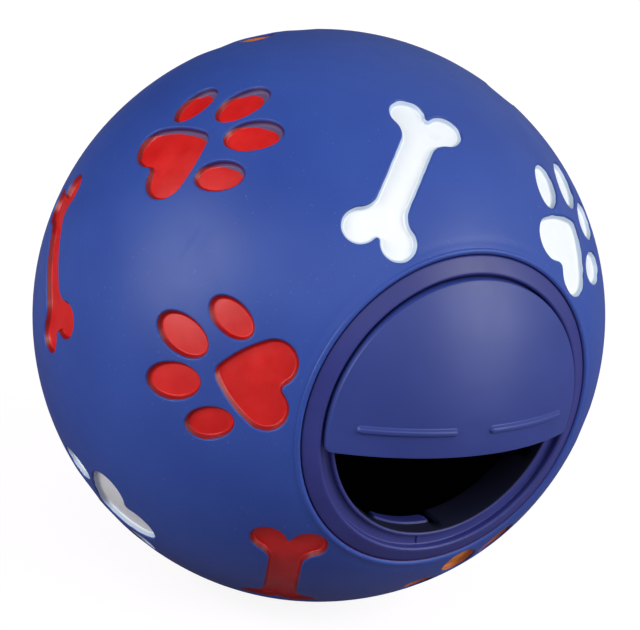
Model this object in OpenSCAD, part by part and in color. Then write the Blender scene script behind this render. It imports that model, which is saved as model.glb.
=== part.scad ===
// Treat dispensing ball: a hollow soft vinyl ball with debossed, painted paws and bones,
// a round insert snapped into its mouth, and a half-disc shutter that turns on the insert.
// Millimetres. The origin is the centre of the ball, +Z is up and the mouth faces -Y.

/* [Ball] */
// Outside radius of the ball
ball_r = 72.5; // [66:0.5:80]
// Thickness of the vinyl wall
ball_wall = 3.4; // [2.8:0.1:4.5]
// Depth of the paw and bone pockets
pocket_depth = 1.5; // [0.8:0.1:1.9]
// Radial thickness of the rounded bead round the mouth
bead_r = 0.9; // [0.6:0.1:1.2]
// Height of the bead's crest over the ball
bead_rise = 0.35; // [0.1:0.05:0.5]

/* [Insert] */
// Outside radius of the insert's flange
flange_r = 39.5; // [38.5:0.1:41]
// Width of the flange, from its outer edge in to the groove
flange_w = 4.3; // [3.6:0.1:4.8]
// Thickness of the flange
flange_t = 2.4; // [2.2:0.1:2.6]
// How far the flange's face lies under the ball's surface
flange_drop = 0.5; // [0.4:0.1:0.8]
// Inside radius of the barrel, which is the treat opening's radius
barrel_r = 31.4; // [30.4:0.1:32]
// Thickness of the barrel's wall
barrel_wall = 1.9; // [1.5:0.1:2.2]
// Height of the barrel below the groove's floor
barrel_len = 7.1; // [6.6:0.1:8]
// Depth of the groove's floor under the flange's inner edge
groove_depth = 2.4; // [2.1:0.1:2.7]
// Thickness of the groove's floor
groove_floor = 1.8; // [1.4:0.1:2.2]
// Radius of the rounded lip round the opening
lip_r = 0.55; // [0.4:0.05:0.7]
// Height of the lip's centre over the groove's floor
lip_rise = 0.8; // [0.6:0.05:1]
// How far the fixed plate reaches past the centre line
plate_reach = 6; // [5.4:0.1:6.5]
// Thickness of the fixed plate
plate_t = 2; // [1.6:0.1:2.4]
// Radius of the hub's boss
hub_r = 5; // [4.4:0.1:5.2]
// Length of the hub's boss below the plate
hub_len = 3.8; // [3:0.1:5]
// Angle that each snap tab spans
tab_angle = 30; // [24:1:32]
// Angle of the first snap tab round the mouth
tab_turn = -9; // [-12:1:0]
// Width of the slot on each side of a snap tab
slot_w = 2.5; // [1.6:0.1:2.8]
// Height of the slots
slot_len = 6.1; // [5:0.1:6.2]
// How much shorter a snap tab is than the barrel
tab_short = 1.9; // [1.2:0.1:2.1]
// How far a snap tab's barb stands out
barb_out = 1.6; // [1.2:0.1:2]
// Height of the barb's ramp
barb_h = 1.9; // [1.5:0.1:2.2]

/* [Shutter] */
// Thickness of the shutter
shutter_t = 2; // [1.6:0.1:2.4]
// How far the shutter reaches past the centre line
shutter_reach = 6.7; // [6.4:0.1:9]
// Distance from the centre to a grip rib's inner end
rib_from = 4.6; // [3:0.1:8]
// Length of a grip rib
rib_len = 24.4; // [16:0.1:26]
// Width of a grip rib
rib_w = 1.8; // [1.4:0.1:2.2]
// Height of a grip rib
rib_h = 0.9; // [0.5:0.1:1.2]
// Radius of the pivot pin
pin_r = 2.5; // [2.2:0.05:2.8]
// Overhang of the pin's snap head
head_over = 0.6; // [0.4:0.05:0.8]
// Height of the pin's snap head
head_h = 1.6; // [1.2:0.1:2]
// Width of the slit that lets the pin's head spring
slit_w = 1; // [0.6:0.1:1.4]
// Length of the slit
slit_len = 5; // [3:0.1:6]

/* [Paws] */
// Half distance between the two lobes of the pad
lobe_x = 5.5; // [4.5:0.1:6]
// Distance of the lobes behind the paw's centre
lobe_y = 12.4; // [11:0.1:14]
// Radius of a lobe
lobe_r = 5.7; // [5.2:0.1:6.2]
// Radius of the fillet between the lobes
lobe_fillet = 1.5; // [1:0.1:2]
// Radius of the pad's tip
tip_r = 3; // [2.4:0.1:3.6]
// Distance of the tip's centre behind the paw's centre
tip_y = 2.1; // [1:0.1:3]
// Radius of the pad's swelling sides
side_r = 34; // [26:1:60]
// Half length of the two middle toes
toe_long = 7.4; // [6.6:0.1:8]
// Half width of the two middle toes
toe_wide = 4.7; // [4:0.1:5]
// Half length of the two outer toes
outer_toe_long = 6.5; // [5.8:0.1:7]
// Half width of the two outer toes
outer_toe_wide = 4.1; // [3.6:0.1:4.4]
// Distance of the middle toes ahead of the paw's centre
toe_ahead = 10.8; // [10:0.1:12]
// Half distance between the middle toes
toe_apart = 5.7; // [5.4:0.1:6.4]
// Distance of the outer toes from the paw's middle line
outer_toe_apart = 13; // [12:0.1:14]

/* [Bones] */
// Distance between the knob pairs of a bone
bone_len = 34.6; // [30:0.1:38]
// Distance between the two knobs of a pair
knob_apart = 9.8; // [9:0.1:10.3]
// Radius of a knob
knob_r = 4.6; // [4:0.1:4.8]
// Width of a bone's shaft
shaft_w = 8.3; // [6.5:0.1:9]
// Radius where the shaft runs into a knob
shaft_fillet = 5; // [3:0.5:8]
// Radius in the notch between two knobs
notch_fillet = 0.6; // [0.5:0.1:1]

/* [Paint] */
// Thickness of the paint
paint_t = 0.2; // [0.1:0.05:0.3]

/* [Fits] */
// Radial running clearance of the pivot pin in the hub
pin_clear = 0.06; // [0.02:0.01:0.1]
// Gap between the shutter and the fixed plate
shutter_gap = 0.3; // [0.25:0.05:0.5]
// Gap round the shutter's edge
edge_gap = 0.5; // [0.4:0.05:0.8]
// Gap between the snap head and the hub
head_gap = 0.2; // [0.1:0.05:0.4]
// Gap between the insert and the vinyl that holds it
seat_gap = 0.1; // [0.05:0.05:0.2]
// Gap round the flange's edge
rim_gap = 0.3; // [0.2:0.05:0.4]
// Gap between the paint and the pocket it lies in
paint_gap = 0.05; // [0.03:0.01:0.1]

/* [Hidden] */
$fn = 120;

// One overrun for every cut
cut_over = 4;
// Angle by which a snap tab's cuts and barb run into the slots beside it
slot_over = 2;
// Angle of one step round an outline
arc_step = 22.5;

// Places of the motifs, as shares: of a full turn round the mouth, of the way from beside the
// mouth to the ball's far end, and of a full turn about the motif's own centre
RED_PAW_SHARES = [[0.3679, 0.2513, 0.437], [0.4792, 0.0235, 0.7605], [0.0207, 0.4695, 0.1043]];
WHITE_PAW_SHARES = [[0.1287, 0.0206, 0.7135], [0.6134, 0.304, 0.8201], [0.879, 0.4546, 0.7603]];
ORANGE_PAW_SHARES = [[0.2761, 0.5375, 0.1081], [0.821, 0.0206, 0.2252], [0.4903, 0.735, 0.9087]];
RED_BONE_SHARES = [[0.4733, 0.3985, 0.6137], [0.6681, 0.0044, 0.37], [0.7699, 0.7735, 0.945]];
WHITE_BONE_SHARES = [[0.2872, 0.0032, 0.6228], [0.12, 0.8042, 0.0565]];
ORANGE_BONE_SHARES = [[0.9716, 0.0843, 0.8219], [0.1544, 0.356, 0.2497], [0.7393, 0.3992, 0.9516]];

// Angles at which the four toes lean out from the paw's middle line
TOE_LEAN = [-16, 16];
OUTER_TOE_LEAN = [-24, 24];
// Angle of one full turn
turn = 360;

// Height over the centre, along the mouth's axis, of a sphere of radius s at distance r
function rise(s, r) = sqrt(s * s - r * r);

pocket_r = ball_r - pocket_depth;
inner_r = ball_r - ball_wall;
flange_face = ball_r - flange_drop;
flange_back = flange_face - flange_t;
groove_r = flange_r - flange_w;
groove_z = rise(flange_face, groove_r) - groove_depth;
groove_back = groove_z - groove_floor;
// Outside radius of the groove's floor, under the flange
groove_out = groove_r + flange_w / 3;
barrel_out = barrel_r + barrel_wall;
barrel_end = groove_back - barrel_len;
lip_z = groove_z + lip_rise;
lip_mid = barrel_r + lip_r;
shutter_in = ball_r - shutter_t;
shutter_r = groove_r - edge_gap;
plate_face = shutter_in - shutter_gap;
plate_back = plate_face - plate_t;
plate_r = lip_mid + lip_r;
hub_end = plate_back - hub_len;
hub_bore = pin_r + pin_clear;
head_r = pin_r + head_over;
head_z = hub_end - head_gap;
mouth_r = flange_r + rim_gap;
bead_mid = mouth_r + bead_r;
bead_s = ball_r + bead_rise - bead_r;
collar_r = barrel_out + seat_gap;
collar_end = barrel_end + tab_short + barb_h + seat_gap;
seat_r = groove_out + seat_gap;
seat_s = flange_back - seat_gap;
seat_z = groove_back - seat_gap;
tab_end = barrel_end + tab_short;
// How far a paw and a bone reach from their centres
paw_reach = lobe_y + lobe_r;
bone_reach = bone_len / 2 + knob_r;

// Frames

// The mouth's frame: its +Z comes out of the mouth and its +Y points up
module at_mouth() {
    rotate([90, 0, 0]) children();
}

// Angle from the mouth's axis of a motif that reaches just to the mouth's edge
function beside_mouth(reach) = asin(mouth_r / ball_r) + asin(reach / ball_r);

// A motif's frame: its +Z points out of the ball at this place
module at_place(place, reach) {
    beside = beside_mouth(reach);
    at_mouth() rotate([0, 0, turn * place[0]])
        rotate([0, beside + (turn / 2 - beside) * place[1], 0])
            rotate([0, 0, turn * place[2]]) children();
}

// Outlines of the motifs

function arc(centre, r, from, to) =
    let (steps = ceil(abs(to - from) / arc_step))
    [for (i = [0 : steps]) let (a = from + (to - from) * i / steps) centre + r * [cos(a), sin(a)]];

function heading(from, to) = atan2(to[1] - from[1], to[0] - from[0]);

// Centre of the circle of radius r that encloses circles a and b and touches both,
// on the right of the line from a to b
function enclosing(a, ra, b, rb, r) =
    let (
        d = norm(b - a),
        u = (b - a) / d,
        da = r - ra,
        db = r - rb,
        s = (d * d + da * da - db * db) / (2 * d),
        h = sqrt(da * da - s * s)
    )
    a + s * u + h * [u[1], -u[0]];

// Left half of the pad's outline, from its tip down to its notch
function half_pad(inset) =
    let (
        tip = [0, -tip_y],
        lobe = [-lobe_x, -lobe_y],
        side = enclosing(lobe, lobe_r, tip, tip_r, side_r),
        notch = [0, -lobe_y - rise(lobe_r + lobe_fillet, lobe_x)],
        to_tip = heading(side, tip),
        to_lobe = heading(side, lobe),
        to_notch = heading(lobe, notch) + turn
    )
    concat(
        arc(tip, tip_r - inset, turn / 4, to_tip),
        arc(side, side_r - inset, to_tip, to_lobe),
        arc(lobe, lobe_r - inset, to_lobe, to_notch),
        arc(notch, lobe_fillet + inset, to_notch - turn / 2, turn / 4)
    );

// Quarter of a bone's outline, from its middle up to the notch between its knobs
function quarter_bone(inset) =
    let (
        knob = [knob_apart, bone_len] / 2,
        reach = knob_r + shaft_fillet,
        flare_x = shaft_w / 2 + shaft_fillet,
        flare = [flare_x, knob[1] - rise(reach, flare_x - knob[0])],
        notch = [0, knob[1] + rise(knob_r + notch_fillet, knob[0])],
        from = heading(knob, flare),
        to = heading(knob, notch)
    )
    concat(
        arc(flare, shaft_fillet + inset, turn / 2, from + turn / 2),
        arc(knob, knob_r - inset, from, to),
        arc(notch, notch_fillet + inset, to - turn / 2, -turn / 4)
    );

function flip(points) = [for (i = [len(points) - 1 : -1 : 0]) [-points[i][0], points[i][1]]];

function turn_over(points) = [for (p = points) -p];

function unique(points) =
    [for (i = [0 : len(points) - 1])
        if (norm(points[i] - points[(i + 1) % len(points)]) > notch_fillet / 100) points[i]];

module pad_outline(inset) {
    half = half_pad(inset);
    polygon(unique(concat(half, flip(half))));
}

module toe_outline(long, wide, inset) {
    polygon([for (a = [0 : arc_step : turn - arc_step])
        [(wide - inset) * cos(a), (long - inset) * sin(a)]]);
}

module bone_outline(inset) {
    quarter = quarter_bone(inset);
    top = concat(quarter, flip(quarter));
    polygon(unique(concat(top, turn_over(top))));
}

// Solids of one motif, from well under the pocket's floor to well over the ball

module motif_prism() {
    translate([0, 0, inner_r - cut_over]) linear_extrude(ball_wall + 2 * cut_over) children();
}

module paw(inset) {
    motif_prism() pad_outline(inset);
    for (side = [0, 1]) {
        x = (2 * side - 1) * toe_apart;
        translate([x, toe_ahead, 0]) rotate([0, 0, -TOE_LEAN[side]])
            motif_prism() toe_outline(toe_long, toe_wide, inset);
        outer_x = (2 * side - 1) * outer_toe_apart;
        translate([outer_x, 0, 0]) rotate([0, 0, -OUTER_TOE_LEAN[side]])
            motif_prism() toe_outline(outer_toe_long, outer_toe_wide, inset);
    }
}

module bone(inset) {
    motif_prism() bone_outline(inset);
}

module motifs(paws, bones, inset) {
    for (place = paws) at_place(place, paw_reach) paw(inset);
    for (place = bones) at_place(place, bone_reach) bone(inset);
}

// A sphere whose poles lie on the mouth's axis
module globe(r) {
    at_mouth() sphere(r);
}

// Paint lying on the pocket floors
module paint(paws, bones) {
    intersection() {
        motifs(paws, bones, paint_gap);
        difference() {
            globe(pocket_r + paint_gap + paint_t);
            globe(pocket_r + paint_gap);
        }
    }
}

// Parts of revolution

module tube(outer, inner, low, high) {
    translate([0, 0, low]) difference() {
        cylinder(r = outer, h = high - low);
        translate([0, 0, -cut_over]) cylinder(r = inner, h = high - low + 2 * cut_over);
    }
}

module ring(mid, height, r) {
    rotate_extrude() translate([mid, height]) circle(r);
}

// Dome between two spheres, out to radius r, above the line y = -reach
module dome(outer, inner, r, reach) {
    intersection() {
        difference() {
            sphere(outer);
            sphere(inner);
        }
        cylinder(r = r, h = ball_r + cut_over);
        translate([-ball_r, -reach, 0]) cube([2 * ball_r, ball_r + reach, ball_r + cut_over]);
    }
}

// Sector of the given angle, centred on +X
module sector(angle) {
    reach = flange_r + cut_over;
    half = angle / 2;
    linear_extrude(ball_r) polygon([[0, 0], reach * [cos(half), -sin(half)],
        reach * [1 / cos(half), 0], reach * [cos(half), sin(half)]]);
}

// Sub-parts

// Vinyl turned in round the mouth, which the insert's barbs hook under
module collar() {
    foot_r = mouth_r + ball_wall + 2 * bead_r;
    rotate_extrude() polygon([
        [collar_r, collar_end],
        [collar_r + ball_wall, collar_end],
        [foot_r, rise(inner_r, foot_r) - bead_rise],
        [foot_r, rise(inner_r, foot_r) + bead_r],
        [mouth_r, rise(seat_s, mouth_r) + bead_r],
        [collar_r, rise(seat_s, collar_r)]
    ]);
}

// The ball before its pockets are pressed in
module plain_shell() {
    at_mouth() difference() {
        union() {
            difference() {
                sphere(ball_r);
                sphere(inner_r);
                translate([0, 0, rise(bead_s, bead_mid)]) cylinder(r = bead_mid, h = ball_r);
            }
            collar();
            ring(bead_mid, rise(bead_s, bead_mid), bead_r);
        }
        difference() {
            cylinder(r = mouth_r, h = ball_r + cut_over);
            sphere(seat_s);
        }
        translate([0, 0, seat_z]) cylinder(r = seat_r, h = ball_r);
        cylinder(r = collar_r, h = ball_r);
    }
}

module ball_shell() {
    color("mediumblue") difference() {
        plain_shell();
        difference() {
            motifs(concat(RED_PAW_SHARES, WHITE_PAW_SHARES, ORANGE_PAW_SHARES),
                concat(RED_BONE_SHARES, WHITE_BONE_SHARES, ORANGE_BONE_SHARES), 0);
            globe(pocket_r);
        }
    }
}

// Snap tab's barb, a ramp that hooks under the collar
module barb() {
    rotate_extrude() polygon([
        [barrel_r + barrel_wall / 2, tab_end],
        [barrel_out, tab_end],
        [barrel_out + barb_out, tab_end + barb_h],
        [barrel_r + barrel_wall / 2, tab_end + barb_h]
    ]);
}

// Wall that carries the fixed plate on the barrel
module plate_seat() {
    intersection() {
        tube(plate_r, barrel_r, groove_z - groove_floor / 2, rise(plate_face, plate_r));
        translate([-ball_r, -plate_reach, 0]) cube([2 * ball_r, ball_r + plate_reach, ball_r]);
    }
}

module insert_ring() {
    color("darkslateblue") at_mouth() difference() {
        union() {
            intersection() {
                difference() {
                    sphere(flange_face);
                    sphere(flange_back);
                }
                tube(flange_r, groove_r, 0, ball_r);
            }
            tube(groove_out, barrel_r, groove_back, groove_z);
            tube(lip_mid + lip_r, barrel_r, groove_z - groove_floor / 2, lip_z);
            ring(lip_mid, lip_z, lip_r);
            tube(barrel_out, barrel_r, barrel_end, groove_z - groove_floor / 2);
            for (side = [0 : 3]) {
                intersection() {
                    barb();
                    rotate([0, 0, 90 * side + tab_turn]) sector(tab_angle + slot_over);
                }
            }
            dome(plate_face, plate_back, plate_r, plate_reach);
            plate_seat();
            translate([0, 0, hub_end]) cylinder(r = hub_r, h = hub_len + plate_t / 2);
        }
        cylinder(r = hub_bore, h = ball_r);
        for (side = [0 : 3]) {
            rotate([0, 0, 90 * side + tab_turn]) snap_tab_cut();
        }
    }
}

// Two slots beside a snap tab, and the tab's shorter end
module snap_tab_cut() {
    for (edge = [-1, 1]) {
        rotate([0, 0, edge * tab_angle / 2])
            translate([barrel_r - barrel_wall, edge > 0 ? 0 : -slot_w, barrel_end - cut_over])
                cube([3 * barrel_wall, slot_w, slot_len + cut_over]);
    }
    intersection() {
        tube(flange_r, barrel_r - cut_over, barrel_end - cut_over, tab_end);
        sector(tab_angle + slot_over);
    }
}

module grip_rib() {
    reach = ball_r + rib_h;
    intersection() {
        difference() {
            sphere(reach);
            sphere(ball_r - shutter_t / 2);
        }
        union() {
            translate([rib_from + rib_w / 2, -rib_w / 2, 0]) cube([rib_len - rib_w, rib_w, reach]);
            translate([rib_from + rib_w / 2, 0, 0]) cylinder(r = rib_w / 2, h = reach);
            translate([rib_from + rib_len - rib_w / 2, 0, 0]) cylinder(r = rib_w / 2, h = reach);
        }
    }
}

module shutter() {
    color("slateblue") at_mouth() difference() {
        union() {
            dome(ball_r, shutter_in, shutter_r, shutter_reach);
            for (side = [0, 1]) {
                mirror([side, 0, 0]) grip_rib();
            }
            translate([0, 0, head_z - head_h]) {
                cylinder(r = pin_r, h = ball_r - shutter_t / 2 - head_z + head_h);
                cylinder(r1 = pin_r - head_over / 2, r2 = head_r, h = head_h);
            }
        }
        translate([-slit_w / 2, -head_r - cut_over, head_z - head_h - cut_over])
            cube([slit_w, 2 * (head_r + cut_over), slit_len + cut_over]);
    }
}

module red_paint() {
    color("red") paint(RED_PAW_SHARES, RED_BONE_SHARES);
}

module white_paint() {
    color("white") paint(WHITE_PAW_SHARES, WHITE_BONE_SHARES);
}

module orange_paint() {
    color("orange") paint(ORANGE_PAW_SHARES, ORANGE_BONE_SHARES);
}

ball_shell();
insert_ring();
shutter();
red_paint();
white_paint();
orange_paint();
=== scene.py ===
"""Treat dispensing ball: vinyl ball, snap-in insert, turning shutter and three coats of paint.

Shapes are worked out in millimetres in the part's frame and written to the meshes in metres.
The origin is the ball's centre, +Z is up and the mouth faces -Y.
"""

from math import (
    acos, asin, atan2, ceil, cos, degrees, dist, exp, hypot, pi, radians, sin, sqrt, tan
)

import bmesh
import bpy
from mathutils import Matrix, Vector, noise
from mathutils.geometry import delaunay_2d_cdt
from mathutils.kdtree import KDTree


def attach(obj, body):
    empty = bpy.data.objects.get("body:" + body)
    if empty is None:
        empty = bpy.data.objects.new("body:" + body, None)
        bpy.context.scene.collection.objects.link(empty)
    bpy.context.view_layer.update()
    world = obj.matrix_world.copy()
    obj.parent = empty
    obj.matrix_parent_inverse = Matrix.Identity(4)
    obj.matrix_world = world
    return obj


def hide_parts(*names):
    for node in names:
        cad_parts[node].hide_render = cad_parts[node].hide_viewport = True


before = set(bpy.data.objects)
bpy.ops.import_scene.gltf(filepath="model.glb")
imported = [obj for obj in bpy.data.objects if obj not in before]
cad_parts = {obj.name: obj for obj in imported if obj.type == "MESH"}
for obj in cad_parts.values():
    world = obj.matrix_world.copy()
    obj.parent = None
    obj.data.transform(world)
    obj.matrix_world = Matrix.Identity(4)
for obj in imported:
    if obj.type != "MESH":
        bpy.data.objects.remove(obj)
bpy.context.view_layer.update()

MM = 0.001
scene = bpy.context.scene

# Sizes of the part's solids, in millimetres
BALL_R = 72.5
INNER_R = 69.1
POCKET_DEPTH = 1.5
MOUTH_R = 39.8
BEAD_MID = 40.46
BEAD_R = 0.9
BEAD_Z = 59.45
# Where the skin meets the bead
BEAD_FOOT = 41.2
COLLAR_R = 33.4
COLLAR_END = 55.41
# The collar's underside: where it begins and ends, and its end's drop under the ball's inside
UNDER_FROM, UNDER_TO, UNDER_DROP = 36.8, 45.0, 1.2
SEAT_R = 36.73
SEAT_Z = 58.51
SEAT_S = 69.5
FLANGE_R = 39.5
FLANGE_FACE = 72.0
FLANGE_BACK = 69.6
# Radii of the rows of points on its face and back
FACE_ROWS, BACK_ROWS = (38.6, 37.9, 37.1, 36.5), (37.2, 38.0, 38.8)
GROOVE_R = 35.2
GROOVE_Z = 60.41
GROOVE_BACK = 58.61
GROOVE_OUT = 36.63
BARREL_R = 31.4
BARREL_OUT = 33.3
BARREL_END = 51.51
TAB_END = 53.41
SLOT_TOP = 57.61
BARB_OUT = 34.9
BARB_TOP = 55.31
LIP_MID = 31.95
LIP_Z = 61.21
LIP_R = 0.55
LIP_STEPS = 8
TAB_TURN = -9.0
TAB_CORNER = 1.3
TAB_SWELL = 0.6
TAB_HALF = 15.0
SLOT_HALF = 19.5
# The gate's stub: its angle round the mouth, distance from the axis and half sizes
GATE_AT = -92.5
GATE_R = 33.6
GATE_HALF = (1.2, 0.45)
# Its rows: (share of the half sizes, height over the groove's floor)
GATE_ROWS = ((1.15, -0.1), (1.0, 0.1), (0.8, 0.32), (0.4, 0.38))
PLATE_FACE = 70.2
PLATE_BACK = 68.2
PLATE_R = 32.3
PLATE_REACH = 6.0
PLATE_CORNER = 0.6
# Roundings of its edge at the face and at the back, and then the shutter's
PLATE_ROUND = (0.35, 0.3)
SHUTTER_ROUND = (0.24, 0.3)
HUB_R = 5.0
HUB_END = 64.4
HUB_BORE = 2.56
SHUTTER_R = 34.7
SHUTTER_T = 2.0
SHUTTER_REACH = 6.7
SHUTTER_CORNER = 1.1
PIN_R = 2.5
HEAD_R = 3.1
HEAD_Z = 64.2
HEAD_H = 1.6
SLIT_W = 1.0
SLIT_TOP = 67.6
RIB_FROM = 4.6
RIB_LEN = 24.4
RIB_W = 1.8
RIB_H = 0.9
# Cross-section of a rib's flank: (inset, height)
RIB_FLANK = ((-0.1, 0.05), (0.03, 0.2), (0.13, 0.42), (0.24, 0.62), (0.38, 0.77), (0.53, 0.86))
# The flat crest's inset, and how far it lies under the rib's full height
CREST_INSET, CREST_DROP = 0.68, 0.01
# The sink mark's depth, and the square of its radius
SINK_DEPTH, SINK_SPREAD = 0.10, 5.0

# Places of paws and bones, as shares: of a full turn round the mouth, of the way from beside
# the mouth to the ball's far end, and of a full turn about the motif's own centre
PAW_SHARES = {
    "red": [(0.3679, 0.2513, 0.437), (0.4792, 0.0235, 0.7605), (0.0207, 0.4695, 0.1043)],
    "white": [(0.1287, 0.0206, 0.7135), (0.6134, 0.304, 0.8201), (0.879, 0.4546, 0.7603)],
    "orange": [(0.2761, 0.5375, 0.1081), (0.821, 0.0206, 0.2252), (0.4903, 0.735, 0.9087)],
}
BONE_SHARES = {
    "red": [(0.4733, 0.3985, 0.6137), (0.6681, 0.0044, 0.37), (0.7699, 0.7735, 0.945)],
    "white": [(0.2872, 0.0032, 0.6228), (0.12, 0.8042, 0.0565)],
    "orange": [(0.9716, 0.0843, 0.8219), (0.1544, 0.356, 0.2497), (0.7393, 0.3992, 0.9516)],
}

# Outline sizes of a paw and a bone
# A lobe of the pad: how far beside the middle and behind the centre it lies, and its radius
LOBE = (5.5, 12.4, 5.7)
LOBE_FILLET = 1.5
TIP_Y, TIP_R, SIDE_R = 2.1, 3.0, 34.0
# A toe: half length, half width, how far beside and ahead of the centre, and lean in degrees
TOE = (7.4, 4.7, 5.7, 10.8, 16)
OUTER_TOE = (6.5, 4.1, 13.0, 0.0, 24)
BONE_LEN, KNOB_APART, KNOB_R = 34.6, 9.8, 4.6
SHAFT_W, SHAFT_FILLET, NOTCH_FILLET = 8.3, 5.0, 0.6

# Longest step along an outline
OUTLINE_STEP = 0.7
# How far ahead of a place the one lies that shows which way is outwards
AHEAD = 0.05
# Steps round the mouth's axis, round a small circle and round a small end
TURNS = 256
CIRCLE_STEPS = 40
END_STEPS = 8
# Steps of a rounded corner of a profile and of a rounded edge of a plate
CORNER_STEPS = 5
EDGE_STEPS = 4
# Longest step round the axis in degrees, between the insert's stations
STATION_STEP = 1.3
# Spacing of the points in a pocket's floor, in a plain domed face and in the shutter's face
FLOOR_SPACING, COARSE, FINE = 1.6, 2.2, 1.1
# Distance between the rows of such a grid of triangles, and its clearance from the edges of a
# floor and of a domed face, as shares of its spacing
ROW_SHARE, FLOOR_CLEAR, FACE_CLEAR = 0.866, 0.6, 0.55
# Edges sharper than this, in degrees, stay sharp on the hard plastic
SHARP_FROM = 38
# The triangulation fills the points' whole hull, and joins points closer than this
WHOLE_HULL, JOIN_UNDER = 0, 1e-9

MOUTH_FRAME = Matrix.Rotation(radians(90), 4, "X")


def rise(s, r):
    """Height of a sphere of radius s at distance r from its axis."""
    return sqrt(s * s - r * r)


# Meshes


class Shape:
    """Points in millimetres, faces and the normals that are known exactly."""

    def __init__(self):
        self.points = []
        self.faces = []
        self.normals = {}

    def add(self, points, normals=None):
        """Adds points, with their exact normals where these are known, and gives their ids."""
        first = len(self.points)
        self.points.extend(Vector(p) for p in points)
        ids = list(range(first, len(self.points)))
        if normals:
            self.normals.update(zip(ids, normals))
        return ids

    def strip(self, a, b, closed=True):
        """Quads between two rows of points."""
        quads = list(zip(a, a[1:] + a[:1], b[1:] + b[:1], b))
        self.faces.extend(quads if closed else quads[:-1])

    def loft(self, rows):
        for a, b in zip(rows, rows[1:]):
            self.strip(a, b)

    def cap(self, row):
        self.faces.append(tuple(row))

    def fan(self, row, tip):
        self.faces.extend((a, b, tip) for a, b in zip(row, row[1:] + row[:1]))

    def build(self, name, body, node, material, sharp=False):
        """Makes the object, faces turned outwards, hides the CAD part it stands for, and attaches
        it.
        """
        mesh = bpy.data.meshes.new(name)
        mesh.from_pydata([p * MM for p in self.points], [], self.faces)
        bm = bmesh.new()
        bm.from_mesh(mesh)
        bmesh.ops.recalc_face_normals(bm, faces=bm.faces[:])
        if bm.calc_volume(signed=True) < 0:
            bmesh.ops.reverse_faces(bm, faces=bm.faces[:])
        bm.to_mesh(mesh)
        bm.free()
        mesh.polygons.foreach_set("use_smooth", [True] * len(mesh.polygons))
        if sharp:
            mesh.set_sharp_from_angle(angle=radians(SHARP_FROM))
        # A zero vector leaves the normal to the faces round the point
        exact = [self.normals.get(i, (0, 0, 0)) for i in range(len(self.points))]
        mesh.normals_split_custom_set_from_vertices(exact)
        obj = bpy.data.objects.new(name, mesh)
        scene.collection.objects.link(obj)
        mesh.materials.append(material)
        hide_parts(node)
        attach(obj, body)


def in_polygon(x, y, polygon):
    """True if the point lies in the closed polygon."""
    inside = False
    x0, y0 = polygon[-1]
    for x1, y1 in polygon:
        if (y1 > y) != (y0 > y) and x < (x0 - x1) * (y - y1) / (y0 - y1) + x1:
            inside = not inside
        x0, y0 = x1, y1
    return inside


def triangulate(shape, chart, ids, loops):
    """Delaunay triangles over chart points, kept inside the outer edge and outside every hole.

    chart gives each id's place in a plane, and loops are index lists into ids. The first loop is
    the outer edge, and the others are holes.
    """
    edges = []
    for loop in loops:
        edges.extend(zip(loop, loop[1:] + loop[:1]))
    places = [Vector(c) for c in chart]
    _, _, faces, origin, _, _ = delaunay_2d_cdt(places, edges, [], WHOLE_HULL, JOIN_UNDER)
    source = []
    for made_from in origin:
        if not made_from:
            raise ValueError("outlines cross in the chart")
        source.append(made_from[0])
    owner = {i: number for number, loop in enumerate(loops) for i in loop}
    polygons = [[chart[i] for i in loop] for loop in loops]
    for face in faces:
        tri = [source[i] for i in face]
        owners = {owner.get(i) for i in tri}
        # Only a triangle with all its corners on one loop can lie on that loop's wrong side
        if len(owners) == 1 and None not in owners:
            number = owners.pop()
            middle = [sum(chart[i][axis] for i in tri) / 3 for axis in range(2)]
            if in_polygon(*middle, polygons[number]) == (number > 0):
                continue
        shape.faces.append(tuple(ids[i] for i in tri))


# Outlines of the motifs. Each gives the same points in the same order for every inset.


def arc(centre, r, start, end, base_r):
    """Points of an arc, as many as base_r needs."""
    steps = max(2, ceil(abs(radians(end - start)) * base_r / OUTLINE_STEP))
    out = []
    for i in range(steps + 1):
        a = radians(start + (end - start) * i / steps)
        out.append((centre[0] + r * cos(a), centre[1] + r * sin(a)))
    return out


def heading(a, b):
    """Direction from a to b, in degrees."""
    return degrees(atan2(b[1] - a[1], b[0] - a[0]))


def enclosing(a, ra, b, rb, r):
    """Centre of the circle of radius r that encloses and touches circles a and b."""
    d = dist(a, b)
    u = ((b[0] - a[0]) / d, (b[1] - a[1]) / d)
    da, db = r - ra, r - rb
    s = (d * d + da * da - db * db) / (2 * d)
    h = sqrt(da * da - s * s)
    return (a[0] + s * u[0] + h * u[1], a[1] + s * u[1] - h * u[0])


def pad_outline(inset):
    tip = (0, -TIP_Y)
    lobe = (-LOBE[0], -LOBE[1])
    side = enclosing(lobe, LOBE[2], tip, TIP_R, SIDE_R)
    notch = (0, -LOBE[1] - rise(LOBE[2] + LOBE_FILLET, LOBE[0]))
    to_tip, to_lobe = heading(side, tip), heading(side, lobe)
    to_notch = heading(lobe, notch) + 360
    half = arc(tip, TIP_R - inset, 90, to_tip, TIP_R)
    half += arc(side, SIDE_R - inset, to_tip, to_lobe, SIDE_R)[1:]
    half += arc(lobe, LOBE[2] - inset, to_lobe, to_notch, LOBE[2])[1:]
    half += arc(notch, LOBE_FILLET + inset, to_notch - 180, 90, LOBE_FILLET)[1:]
    return half + [(-x, y) for x, y in half[-2:0:-1]]


def toe_outline(toe, side):
    """The outline function of one toe on the given side of the paw's middle line."""
    long, wide, apart, ahead, lean = toe
    c, s = cos(radians(-side * lean)), sin(radians(-side * lean))
    count = ceil(2 * pi * (long + wide) / 2 / OUTLINE_STEP)

    def outline(inset):
        out = []
        for i in range(count):
            a = 2 * pi * i / count
            x, y = (wide - inset) * cos(a), (long - inset) * sin(a)
            out.append((side * apart + x * c - y * s, ahead + x * s + y * c))
        return out

    return outline


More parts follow.
